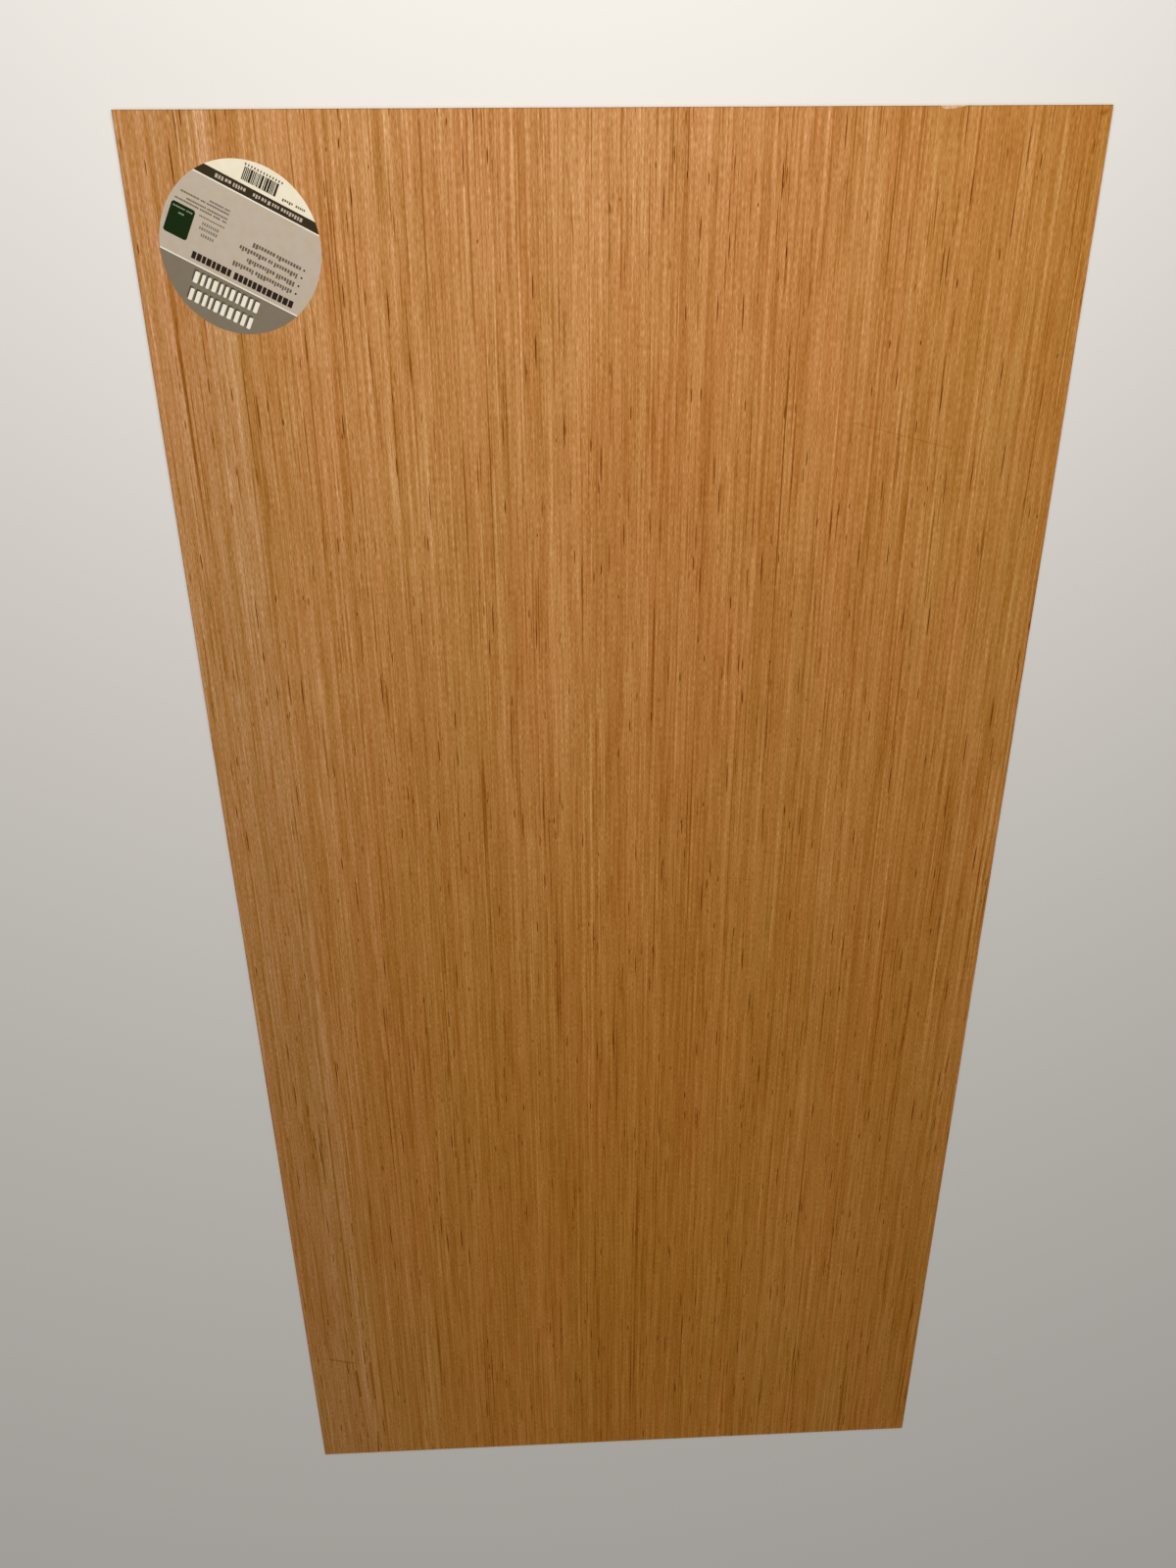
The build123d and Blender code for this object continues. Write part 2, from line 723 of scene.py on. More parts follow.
@dataclass(frozen=True)
class EdgeFinish:
    """A sawn edge, where the plies show: long grain in those that run along it, end grain in the others."""

    name: str
    along: Along
    stack: PlyStack
    veneer_colour: Colour = screen_colour(150, 101, 52)
    core_colour: Colour = screen_colour(176, 134, 88)
    glue_colour: Colour = screen_colour(74, 42, 18)
    end_grain_tone: float = -0.28
    glue_strength: float = 0.85
    specular: float = 0.2
    saw_depth: float = 0.1 * MM

    def build(self, effects: Effects) -> bpy.types.Material:
        """Make the material.

        Args:
            effects: The shared node groups.

        Returns:
            The material.
        """
        material, w, shader = surface(self.name)
        place = w.split(w.node("ShaderNodeTexCoord").outputs["Object"])
        height = w.in_mm(place[2])
        crossing = w.join(height, w.in_mm(place[self.along.value]))

        def fibres(width: float, length: float, seed: float, weight: float = 1.0) -> Socket:
            """Place streaks along the edge, sized in millimetres, and weigh them."""
            level = w.place(effects.streaks, Grain=crossing, Width=width, Length=length, Seed=seed)["Level"]
            return w.product(level, weight)

        long_grain = w.total(
            fibres(0.16, 16.0, seed=1.3, weight=0.5),
            fibres(0.4, 60.0, seed=2.9, weight=0.4),
        )
        vessels = w.place(effects.dashes, Grain=crossing, Width=0.3, Length=0.6, Amount=0.4, Seed=4.1)
        end_grain = w.total(
            fibres(0.3, 0.3, seed=5.3, weight=0.35),
            fibres(6.0, 0.5, seed=6.1, weight=0.30),
            w.product(vessels["Mask"], -0.5),
            self.end_grain_tone,
        )
        veneer_grain, core_grain = long_grain, end_grain
        if self.along is Along.ACROSS_GRAIN:
            veneer_grain, core_grain = end_grain, long_grain
        saw = fibres(9.0, 0.8, seed=8.7, weight=0.22)
        grime = w.product(w.remap(fibres(4.0, 45.0, seed=9.4), low=-0.1, high=0.5), -0.25)
        worn = w.total(saw, grime)

        def coloured(colour: Colour, grain: Socket) -> Socket:
            """Tone one ply's wood by its grain, the saw and the dirt."""
            return w.place(effects.wood, Colour=colour, Tone=w.total(grain, worn), Redness=0.0)["Colour"]

        half_core = self.stack.core_mm / 2
        wavering = fibres(3.0, 22.0, seed=12.2, weight=0.09)
        from_middle = w.maths("ABSOLUTE", w.total(height, wavering, -(self.stack.veneer_mm + half_core)))
        to_glue = w.maths("ABSOLUTE", w.maths("SUBTRACT", from_middle, half_core))
        in_core = w.maths("LESS_THAN", from_middle, half_core)
        glue = w.remap(to_glue, self.stack.glue_mm, self.stack.glue_mm * 0.3, 0.0, self.glue_strength)
        veneer, core = coloured(self.veneer_colour, veneer_grain), coloured(self.core_colour, core_grain)
        relief = w.total(saw, fibres(0.3, 0.3, seed=5.3, weight=0.3))
        w.feed(shader.inputs["Base Color"], w.mix(glue, w.mix(in_core, veneer, core), self.glue_colour))
        w.feed(shader.inputs["Roughness"], w.remap(glue, 0.0, 1.0, to_low=0.82, to_high=0.5))
        shader.inputs["Specular IOR Level"].default_value = self.specular
        w.feed(shader.inputs["Normal"], w.bump(relief, depth=self.saw_depth))
        return material


@dataclass(frozen=True)
class TornFinish:
    """Wood fibre laid open where the face veneer has torn or split. The split's finish is made dark, which is
    painted shade in its narrow crack.
    """

    name: str
    colour: Colour
    contrast: float = 0.28
    roughness: float = 0.9
    specular: float = 0.1
    shred_depth: float = 0.2 * MM

    def build(self, effects: Effects) -> bpy.types.Material:
        """Make the material.

        Args:
            effects: The shared node groups.

        Returns:
            The material.
        """
        material, w, shader = surface(self.name)
        place = w.node("ShaderNodeTexCoord").outputs["Object"]
        grain = w.place(effects.space, Place=place, Lean=0.0, Wander=0.0)["Grain"]
        shreds = w.place(effects.streaks, Grain=grain, Width=0.35, Length=2.2, Seed=2.2)["Level"]
        coarse = w.place(effects.streaks, Grain=grain, Width=1.6, Length=4.0, Seed=6.8)["Level"]
        tone = w.product(w.total(shreds, coarse), self.contrast)
        wood = w.place(effects.wood, Colour=self.colour, Tone=tone, Redness=0.0)
        w.feed(shader.inputs["Base Color"], wood["Colour"])
        shader.inputs["Roughness"].default_value = self.roughness
        shader.inputs["Specular IOR Level"].default_value = self.specular
        w.feed(shader.inputs["Normal"], w.bump(tone, depth=self.shred_depth))
        return material


@dataclass(frozen=True)
class PrintFinish:
    """Paper, bare or under one ink."""

    name: str
    colour: Colour
    roughness: float = 0.55
    specular: float = 0.03
    tooth_depth: float = 0.015 * MM

    def build(self, effects: Effects) -> bpy.types.Material:
        """Make the material.

        Args:
            effects: The shared node groups.

        Returns:
            The material.
        """
        material, w, shader = surface(self.name)
        place = w.node("ShaderNodeTexCoord").outputs["Object"]
        fibre = w.place(effects.paper, Place=place)
        tinted = w.place(effects.wood, Colour=self.colour, Tone=fibre["Tone"], Redness=0.0)
        w.feed(shader.inputs["Base Color"], tinted["Colour"])
        shader.inputs["Roughness"].default_value = self.roughness
        shader.inputs["Specular IOR Level"].default_value = self.specular
        w.feed(shader.inputs["Normal"], w.bump(fibre["Height"], depth=self.tooth_depth))
        return material


def show(name: str, mesh: bpy.types.Mesh) -> bpy.types.Object:
    """Put a mesh in the scene as an object."""
    made = bpy.data.objects.new(name, mesh)
    bpy.context.scene.collection.objects.link(made)
    return made


def finish_mesh(bm: bmesh.types.BMesh, name: str, materials: list[bpy.types.Material]) -> bpy.types.Mesh:
    """Turn a bmesh into a mesh with outward faces and its materials.

    Args:
        bm: The faces, freed here.
        name: The mesh's name.
        materials: Its materials, in slot order.

    Returns:
        The mesh.
    """
    bmesh.ops.recalc_face_normals(bm, faces=bm.faces)
    mesh = bpy.data.meshes.new(name)
    bm.to_mesh(mesh)
    bm.free()
    for material in materials:
        mesh.materials.append(material)
    return mesh


class Side(Enum):
    """The four sides of the sheet, in order round it. The value is the direction that each runs in."""

    NEAR_END = (1, 0)
    RIGHT = (0, 1)
    LABELLED_END = (-1, 0)
    LEFT = (0, -1)

    @property
    def heading(self) -> Vector:
        """The direction that the side runs in."""
        return Vector(self.value)

    @property
    def inward(self) -> Vector:
        """The direction from the side into the sheet."""
        return Vector((-self.value[1], self.value[0]))


class SheetPart(Enum):
    """The surfaces of the sheet. The value is the material slot."""

    FACE = 0
    BACK = 1
    LONG_EDGE = 2
    END_EDGE = 3
    TORN = 4
    SPLIT = 5


@dataclass(frozen=True)
class Station:
    """A point on the sheet's outline where its edge is drawn.

    Attributes:
        rim: Where the outline is.
        torn: Where the face veneer's edge is, away from the rim where it is torn off.
        inward: The way into the sheet, to both sides at a corner.
        side: The side that it starts or lies on.
        run: How far along that side it is.
        surface: What shows between the rim and the torn edge.
    """

    rim: Vector
    torn: Vector
    inward: Vector
    side: Side
    run: float
    surface: SheetPart | None = None


@dataclass(frozen=True)
class Level:
    """A corner of the edge's profile.

    Attributes:
        height: How far up from the underside it is.
        cut_back: Whether the arris is cut back there.
        on_veneer: Whether it belongs to the face veneer.
    """

    height: float
    cut_back: bool
    on_veneer: bool


@dataclass
class SheetPanel:
    """The sheet, made as one closed skin: a profile of its edge, carried round its outline.

    The torn-out chip and the split are where the face veneer stops short of the outline.
    """

    stack: PlyStack = PlyStack()
    arris: float = 0.2 * MM
    station_gap: float = 12 * MM
    station_jitter: float = 0.5
    saw_wave: float = 0.05 * MM
    nick_count: int = 26
    nick_depth: float = 0.28 * MM
    nick_least: float = 0.3
    nick_reach: float = 1.5
    chip_from: float = 90.5 * MM
    chip_length: float = 18 * MM
    chip_reach: float = 2.2 * MM
    chip_steep_run: float = 3 * MM
    chip_hollow: float = 0.5 * MM
    chip_step: float = 0.3 * MM
    chip_ragged: float = 0.45 * MM
    split_from: float = 56 * MM
    split_width: float = 1.2 * MM
    split_length: float = 24 * MM
    split_lean: float = 0.6 * MM
    split_steps: int = 16
    split_ragged: float = 0.12 * MM
    split_calm_tip: float = 3.0
    floor_step: float = 0.02 * MM
    map_gap: float = 0.004
    map_face: float = 0.715
    map_back: float = 0.205
    seed: int = 12
    lowest: Vector = field(default_factory=lambda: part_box(SHEET_NODE)[0])
    highest: Vector = field(default_factory=lambda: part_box(SHEET_NODE)[1])

    def __post_init__(self) -> None:
        """Work out the sizes that follow from the frame."""
        self.size = self.highest - self.lowest
        self.draw = random.Random(self.seed)

    def corner(self, side: Side) -> Vector:
        """The corner where a side starts."""
        heading, inward = side.heading, side.inward
        half = self.size.to_2d() / 2
        return Vector(tuple(-(h + i) * s for h, i, s in zip(heading, inward, half)))

    def length(self, side: Side) -> float:
        """How long a side is."""
        return self.size.x if side.value[0] else self.size.y

    def chip_edge(self) -> Iterator[tuple[float, float]]:
        """Follow the torn edge of the chip: its depth from the rim at each place along the end.

        Yields:
            The run along the labelled end, and the depth into the sheet.
        """
        steps = round(self.chip_length / self.chip_step)
        for i in range(1, steps):
            run = self.chip_length * i / steps
            to_steep = self.chip_length - run
            if to_steep < self.chip_steep_run:
                depth = self.chip_reach * to_steep / self.chip_steep_run
            else:
                share = run / (self.chip_length - self.chip_steep_run)
                depth = self.chip_reach * share + self.chip_hollow * 4 * share * (1 - share)
            ragged = self.chip_ragged * self.draw.random() * min(1.0, depth / self.chip_ragged)
            yield self.chip_from + run, depth - ragged

    def split_edge(self) -> Iterator[tuple[float, Vector]]:
        """Follow the two sides of the split, up to its point and back.

        Yields:
            The run along the near end, and the place of the split's side from the split's middle on the rim.
        """
        half = self.split_width / 2
        tip = Vector((self.split_lean, self.split_length))
        up, down = range(1, self.split_steps + 1), range(self.split_steps - 1, 0, -1)
        for foot, steps in ((-half, up), (half, down)):
            for i in steps:
                share = i / self.split_steps
                spot = Vector((foot, 0.0)).lerp(tip, share)
                calm = min(1.0, self.split_calm_tip * (1 - share))
                spot.x += self.split_ragged * (self.draw.random() - 0.5) * calm
                order = share / 2 if foot < 0 else 1 - share / 2
                yield self.split_from - half + self.split_width * order, spot

    def side_stations(self, side: Side) -> Iterator[Station]:
        """Place the stations of one side, from its first corner up to the next.

        Args:
            side: The side.

        Yields:
            Its stations.
        """
        length, start = self.length(side), self.corner(side)
        before = list(Side)[list(Side).index(side) - 1]
        yield Station(start, start, side.inward + before.inward, side, 0.0)
        count = round(length / self.station_gap)
        placed: list[tuple[float, Vector, SheetPart | None]] = []
        for i in range(1, count):
            run = length * (i + self.station_jitter * (self.draw.random() - 0.5)) / count
            placed.append((run, start + side.heading * run, None))
        if side is Side.LABELLED_END:
            placed = [p for p in placed if not self.chip_from <= p[0] <= self.chip_from + self.chip_length]
            for run in (self.chip_from, self.chip_from + self.chip_length):
                placed.append((run, start + side.heading * run, SheetPart.TORN))
            for run, depth in self.chip_edge():
                placed.append((run, start + side.heading * run + side.inward * depth, SheetPart.TORN))
        if side is Side.NEAR_END:
            middle = start + side.heading * self.split_from
            reach = self.split_width / 2
            placed = [p for p in placed if abs(p[0] - self.split_from) > reach]
            for run in (self.split_from - reach, self.split_from + reach):
                placed.append((run, start + side.heading * run, SheetPart.SPLIT))
            for run, spot in self.split_edge():
                placed.append((run, middle + spot, SheetPart.SPLIT))
        for run, torn, part in sorted(placed, key=lambda p: p[0]):
            yield Station(start + side.heading * run, torn, side.inward, side, run, part)

    def levels(self) -> list[Level]:
        """List the corners of the edge's profile from the underside up."""
        top = self.size.z
        veneer = self.stack.veneer_mm * MM
        return [
            Level(0.0, cut_back=True, on_veneer=False),
            Level(self.arris, cut_back=False, on_veneer=False),
            Level(veneer, cut_back=False, on_veneer=False),
            Level(top - veneer, cut_back=False, on_veneer=False),
            Level(top - veneer + self.floor_step, cut_back=False, on_veneer=True),
            Level(top - self.arris, cut_back=False, on_veneer=True),
            Level(top, cut_back=True, on_veneer=True),
        ]

    def girths(self) -> list[float]:
        """List how far round the profile its corners are, from 0 at its foot to 1 at its top."""
        levels = self.levels()
        reached = [0.0]
        for lower, upper in zip(levels, levels[1:]):
            inset = self.arris if lower.cut_back != upper.cut_back else 0.0
            reached.append(reached[-1] + math.hypot(upper.height - lower.height, inset))
        return [girth / reached[-1] for girth in reached]

    def profile(self, station: Station, nick: float) -> list[Vector]:
        """Draw the edge's profile at one station.

        Args:
            station: Where.
            nick: How far the face's arris is knocked in there.

        Returns:
            The profile's points, from the underside up.
        """
        wave = 0.0 if station.surface else self.saw_wave * self.draw.random()
        points = []
        for level in self.levels():
            base = station.torn if level.on_veneer else station.rim
            inset = wave
            if level.cut_back and not (level.on_veneer and station.surface):
                inset += self.arris
            if level.on_veneer and level.height > self.size.z - self.nick_reach * self.arris:
                inset += nick
            spot = base + station.inward * inset
            points.append(Vector((spot.x, spot.y, self.lowest.z + level.height)))
        return points

    def map_broad_point(self, point: Vector, on_back: bool = False) -> Point:
        """Place a point of the face or the back on the bake map.

        Args:
            point: The point.
            on_back: Whether it is on the back.

        Returns:
            Its place on the map.
        """
        across = (point.x - self.lowest.x) / self.size.x
        along = (point.y - self.lowest.y) / self.size.y
        up = self.map_gap + along * (1 - 2 * self.map_gap)
        if on_back:
            return 2 * self.map_gap + self.map_face + (1 - across) * self.map_back, up
        return self.map_gap + across * self.map_face, up

    def map_edge_point(self, side: Side, run: float, girth: float) -> Point:
        """Place a point of an edge on the bake map.

        Args:
            side: The side that the edge is on.
            run: How far along the side the point is.
            girth: How far round the profile it is, from 0 to 1.

        Returns:
            Its place on the map.
        """
        sides = list(Side)
        start = 3 * self.map_gap + self.map_face + self.map_back
        pitch = (1 - start) / len(sides)
        left = start + sides.index(side) * pitch
        up = self.map_gap + run / self.length(side) * (1 - 2 * self.map_gap)
        return left + girth * (pitch - self.map_gap), up

    def raise_profiles(self, bm: bmesh.types.BMesh, stations: list[Station]) -> Columns:
        """Stand the edge's profile up at every station, with the arris knocked in at some of them.

        Args:
            bm: The mesh that gets the points.
            stations: The stations, in order round the sheet.

        Returns:
            The points of each station's profile, from the underside up.
        """
        plain = [i for i, station in enumerate(stations) if not station.surface and station.run]
        chosen = self.draw.sample(plain, self.nick_count)
        nicks = {i: self.nick_depth * self.draw.uniform(self.nick_least, 1.0) for i in chosen}
        return [
            [bm.verts.new(point) for point in self.profile(station, nicks.get(i, 0.0))]
            for i, station in enumerate(stations)
        ]

    def skin_edges(self, bm: bmesh.types.BMesh, stations: list[Station], columns: Columns) -> None:
        """Lay the edge's faces between each station's profile and the next.

        Args:
            bm: The mesh that holds the profiles.
            stations: The stations, in order round the sheet.
            columns: The points of each station's profile.
        """
        chart = bm.loops.layers.uv[BAKE_MAP]
        levels, girths = self.levels(), self.girths()
        for i, station in enumerate(stations):
            after = (i + 1) % len(stations)
            ahead = stations[after]
            far_run = ahead.run if ahead.side is station.side else self.length(station.side)
            runs = (station.run, far_run, far_run, station.run)
            edge = SheetPart.END_EDGE if station.side.value[0] else SheetPart.LONG_EDGE
            laid_bare = station.surface if station.surface is ahead.surface else None
            for k in range(len(levels) - 1):
                near, far = columns[i], columns[after]
                face = bm.faces.new((near[k], far[k], far[k + 1], near[k + 1]))
                is_floor = levels[k + 1].on_veneer and not levels[k].on_veneer
                part = laid_bare if laid_bare and levels[k + 1].on_veneer else edge
                face.material_index = part.value
                for loop, run, level in zip(face.loops, runs, (k, k, k + 1, k + 1)):
                    if laid_bare and is_floor:
                        loop[chart].uv = self.map_broad_point(loop.vert.co)
                    else:
                        loop[chart].uv = self.map_edge_point(station.side, run, girths[level])

    def cap(
        self, bm: bmesh.types.BMesh, rim: list[bmesh.types.BMVert], part: SheetPart
    ) -> bmesh.types.BMFace:
        """Close the skin with the face or the back.

        Args:
            bm: The mesh.
            rim: The points round it.
            part: Which of the two it is.

        Returns:
            The cap, with the normal that it needs before it is cut into triangles.
        """
        chart = bm.loops.layers.uv[BAKE_MAP]
        cap = bm.faces.new(rim)
        cap.material_index = part.value
        for loop in cap.loops:
            loop[chart].uv = self.map_broad_point(loop.vert.co, on_back=part is SheetPart.BACK)
        cap.normal_update()
        return cap

    def build(self, finishes: dict[SheetPart, bpy.types.Material]) -> bpy.types.Object:
        """Make the sheet and put it in the place of its solid.

        Args:
            finishes: The material of each surface.

        Returns:
            The sheet.
        """
        bm = bmesh.new()
        bm.loops.layers.uv.new(BAKE_MAP)
        stations = [station for side in Side for station in self.side_stations(side)]
        columns = self.raise_profiles(bm, stations)
        self.skin_edges(bm, stations, columns)
        face = self.cap(bm, [column[-1] for column in columns], SheetPart.FACE)
        back = self.cap(bm, [column[0] for column in reversed(columns)], SheetPart.BACK)
        bmesh.ops.triangulate(bm, faces=[face, back])
        materials = [finishes[part] for part in SheetPart]
        sheet = show("veneered_sheet", finish_mesh(bm, "veneered_sheet", materials))
        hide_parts(SHEET_NODE)
        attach(sheet, BODY)
        return sheet


class Ink(Enum):
    """What a part of the label is printed with. The value is the material slot."""

    BARE = 0
    FIELD = 1
    HEAD = 2
    HEAD_SHADE = 3
    HEAD_SHADOW = 4
    WHITE = 5
    BAND = 6
    BLACK = 7
    GREY = 8
    PALE_GREY = 9
    GREEN = 10
    PALE_GREEN = 11


@dataclass(frozen=True)
class Patch:
    """A printed shape, in the label's own millimetres from its centre."""

    ink: Ink
    outline: tuple[Point, ...]

    def moved(self, ink: Ink, x: float, y: float) -> "Patch":
        """Copy the shape in another ink, moved aside."""
        return Patch(ink, tuple((point[0] + x, point[1] + y) for point in self.outline))


def block(ink: Ink, left: float, low: float, right: float, high: float, cut: float = 0.0) -> Patch:
    """Make a rectangular patch.

    Args:
        ink: Its ink.
        left: Its left side.
        low: Its lower side.
        right: Its right side.
        high: Its upper side.
        cut: How much of each corner is cut off.

    Returns:
        The patch.
    """
    if not cut:
        return Patch(ink, ((left, low), (right, low), (right, high), (left, high)))
    corners = (
        (left, low + cut), (left + cut, low), (right - cut, low), (right, low + cut),
        (right, high - cut), (right - cut, high), (left + cut, high), (left, high - cut),
    )
    return Patch(ink, corners)


def dot(ink: Ink, x: float, y: float, radius: float) -> Patch:
    """Make a round patch."""
    angles = (math.tau * i / DOT_CORNERS for i in range(DOT_CORNERS))
    return Patch(ink, tuple((x + radius * math.cos(a), y + radius * math.sin(a)) for a in angles))


@dataclass(frozen=True)
class WordRow:
    """A row of words that are only hinted at: runs of plain blocks, one for each letter.

    Attributes:
        ink: The ink.
        low: The foot of the row.
        tall: How tall its blocks are.
        spans: The left and right end of each word.
        letter: How wide a block is on average, with its gap.
        gap: The gap between two blocks.
        rise: How much taller some of the blocks are.
        cut: How much of each block's corners is cut off.
        rise_chance: The share of the blocks that are taller.
        unevenness: How far a block's width may be from the average, as a share of it.
    """

    ink: Ink
    low: float
    tall: float
    spans: tuple[Point, ...]
    letter: float
    gap: float
    rise: float = 0.0
    cut: float = 0.0
    rise_chance: float = 0.35
    unevenness: float = 0.25

    def blocks(self, draw: random.Random) -> Iterator[Patch]:
        """Make the blocks.

        Args:
            draw: The source of their uneven widths and heights.

        Yields:
            The blocks, from the left.
        """
        for left, right in self.spans:
            count = max(1, round((right - left + self.gap) / self.letter))
            shares = [draw.uniform(1 - self.unevenness, 1 + self.unevenness) for _ in range(count)]
            room = right - left - self.gap * (count - 1)
            for share in shares:
                width = room * share / sum(shares)
                top = self.low + self.tall + (self.rise if draw.random() < self.rise_chance else 0.0)
                yield block(self.ink, left, self.low, left + width, top, self.cut)
                left += width + self.gap


@dataclass
class PaperLabel:
    """The round label, printed with bands, rows of plain blocks, a green patch and uneven bars.

    The printed sizes are in millimetres from the label's centre, with the label's own up along its Y.
    """

    turn: float = math.radians(152.8)
    rim_points: int = 180
    head_low: float = 21.7
    rule: float = 0.8
    field_low: float = -28.3
    band_low: float = -34.8
    title_rows: tuple[WordRow, ...] = (
        WordRow(Ink.WHITE, 35.2, 7.2, ((-21.0, 20.3),), letter=4.2, gap=1.8, cut=0.4),
        WordRow(Ink.WHITE, 24.6, 6.9, ((-21.6, 20.8),), letter=3.9, gap=1.7, cut=0.4),
    )
    title_shades: tuple[tuple[Ink, float, float], ...] = (
        (Ink.HEAD_SHADE, 1.1, -1.1),
        (Ink.HEAD_SHADOW, 0.6, -0.65),
    )
    bullet_left: float = -39.7
    bullet_up: float = 1.1
    bullet_radius: float = 0.65
    line_tall: float = 2.1
    line_letter: float = 1.75
    line_gap: float = 0.5
    line_rise: float = 0.9
    line_rows: tuple[tuple[float, tuple[Point, ...]], ...] = (
        (8.2, ((-36.9, -12.8), (-11.5, 1.8))),
        (3.2, ((-36.9, -25.0), (-23.7, -5.5))),
        (-2.1, ((-36.9, -21.6), (-20.4, -17.7), (-16.4, 1.0))),
        (-6.9, ((-37.5, -21.4), (-20.3, -6.0))),
    )
    other_rows: tuple[WordRow, ...] = (
        WordRow(Ink.BLACK, 14.3, 4.4, ((-40.4, -1.3), (0.8, 26.2)), letter=3.4, gap=0.55, cut=0.25),
        WordRow(Ink.PALE_GREY, 2.7, 1.8, ((16.7, 24.8),), letter=1.4, gap=0.5),
        WordRow(Ink.PALE_GREY, -0.9, 1.8, ((15.6, 27.0),), letter=1.4, gap=0.5),
        WordRow(Ink.PALE_GREY, -3.9, 1.8, ((15.6, 26.0),), letter=1.4, gap=0.5),
        WordRow(Ink.GREY, -6.9, 0.9, ((13.0, 29.1),), letter=1.0, gap=0.35),
        WordRow(
            Ink.GREY, -10.3, 1.05, ((13.0, 15.6), (17.0, 21.2), (22.4, 29.8), (30.8, 45.8)),
            letter=1.0, gap=0.25,
        ),
        WordRow(Ink.GREY, -12.4, 1.05, ((13.0, 26.0), (26.9, 39.0)), letter=1.0, gap=0.25),
        WordRow(Ink.GREY, -15.3, 1.05, ((13.0, 27.2), (28.1, 31.0), (32.0, 43.7)), letter=1.0, gap=0.25),
        WordRow(Ink.GREY, -17.4, 1.05, ((13.0, 16.4), (17.3, 26.0)), letter=1.0, gap=0.25),
        WordRow(
            Ink.FIELD, -33.1, 1.8, ((-28.4, -14.6), (-13.1, -8.8), (-7.6, -6.0), (-4.8, -1.9), (-0.8, 3.6)),
            letter=1.8, gap=0.65, rise=0.5,
        ),
        WordRow(
            Ink.FIELD, -33.1, 1.8, ((8.5, 16.3), (17.7, 21.5), (22.6, 27.8)),
            letter=1.8, gap=0.65, rise=0.5,
        ),
        WordRow(Ink.GREY, -38.4, 1.3, ((-28.0, -22.0), (-20.0, -13.3)), letter=1.4, gap=0.4, rise=0.5),
    )
    green_patch: tuple[float, float, float, float] = (31.7, -7.5, 46.8, 11.2)
    green_cut: float = 1.1
    green_rows: tuple[WordRow, ...] = (
        WordRow(Ink.PALE_GREEN, -2.6, 0.9, ((37.6, 41.0),), letter=1.1, gap=0.3),
        WordRow(Ink.PALE_GREEN, -5.6, 0.8, ((33.2, 37.0), (38.0, 45.4)), letter=1.1, gap=0.3),
    )
    bars: tuple[float, float, float, float] = (-8.8, -44.7, 14.0, -36.9)
    bar_widths: tuple[float, ...] = (0.35, 0.7, 0.7, 1.4)
    bar_gaps: tuple[float, ...] = (0.35, 0.35, 0.7)
    bar_room: float = 1.0
    ticks: tuple[float, float, float, float] = (-10.6, -46.7, 14.0, -45.3)
    tick_pitch: float = 1.95
    tick_width: float = 0.9
    disc_uv: tuple[float, float, float] = (0.445, 0.445, 0.44)
    back_uv: tuple[float, float, float] = (0.945, 0.945, 0.05)
    rim_uv: tuple[float, float] = (0.91, 0.97)
    rim_uv_middle: float = 0.44
    rim_uv_reach: float = 0.42
    seed: int = 5

    def __post_init__(self) -> None:
        """Find the label's place in the frame."""
        lowest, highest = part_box(LABEL_NODE)
        self.centre = (lowest + highest) / 2
        self.radius = (highest.x - lowest.x) / 2
        self.low, self.high = lowest.z, highest.z
        self.draw = random.Random(self.seed)

    def disc(self) -> Patch:
        """The paper's whole outline."""
        reach = self.radius / MM
        angles = (math.tau * i / self.rim_points - self.turn for i in range(self.rim_points))
        return Patch(Ink.BARE, tuple((reach * math.cos(a), reach * math.sin(a)) for a in angles))

    def bands(self) -> Iterator[Patch]:
        """The bands that cross the whole label."""
        reach = self.radius / MM + 1
        yield block(Ink.FIELD, -reach, self.field_low, reach, self.head_low)
        yield block(Ink.HEAD, -reach, self.head_low, reach, reach)
        yield block(Ink.WHITE, -reach, self.head_low - self.rule, reach, self.head_low)
        yield block(Ink.WHITE, -reach, self.field_low - self.rule, reach, self.field_low)
        yield block(Ink.BAND, -reach, self.band_low, reach, self.field_low - self.rule)

    def title(self) -> Iterator[Patch]:
        """The title's rows, with their soft shadows under them."""
        letters = [letter for row in self.title_rows for letter in row.blocks(self.draw)]
        for shade in self.title_shades:
            yield from (letter.moved(*shade) for letter in letters)
        yield from letters

    def lines(self) -> Iterator[Patch]:
        """The rows of small print, each list line after its round mark."""
        for low, spans in self.line_rows:
            yield dot(Ink.BLACK, self.bullet_left, low + self.bullet_up, self.bullet_radius)
            sizes = {"letter": self.line_letter, "gap": self.line_gap, "rise": self.line_rise}
            yield from WordRow(Ink.GREY, low, self.line_tall, spans, **sizes).blocks(self.draw)
        for row in self.other_rows:
            yield from row.blocks(self.draw)

    def uneven_bars(self) -> Iterator[Patch]:
        """The bars of drawn widths at the label's foot, and the even ticks under them."""
        left, low, right, high = self.bars
        while left < right - self.bar_room:
            width = self.draw.choice(self.bar_widths)
            yield block(Ink.BLACK, left, low, left + width, high)
            left += width + self.draw.choice(self.bar_gaps)
        left, low, right, high = self.ticks
        while left < right:
            yield block(Ink.GREY, left, low, left + self.tick_width, high)
            left += self.tick_pitch

    def patches(self) -> Iterator[Patch]:
        """Every printed shape, the lower ones first."""
        yield from self.bands()
        yield from self.title()
        yield from self.lines()
        yield block(Ink.GREEN, *self.green_patch, cut=self.green_cut)
        for row in self.green_rows:
            yield from row.blocks(self.draw)
        yield from self.uneven_bars()

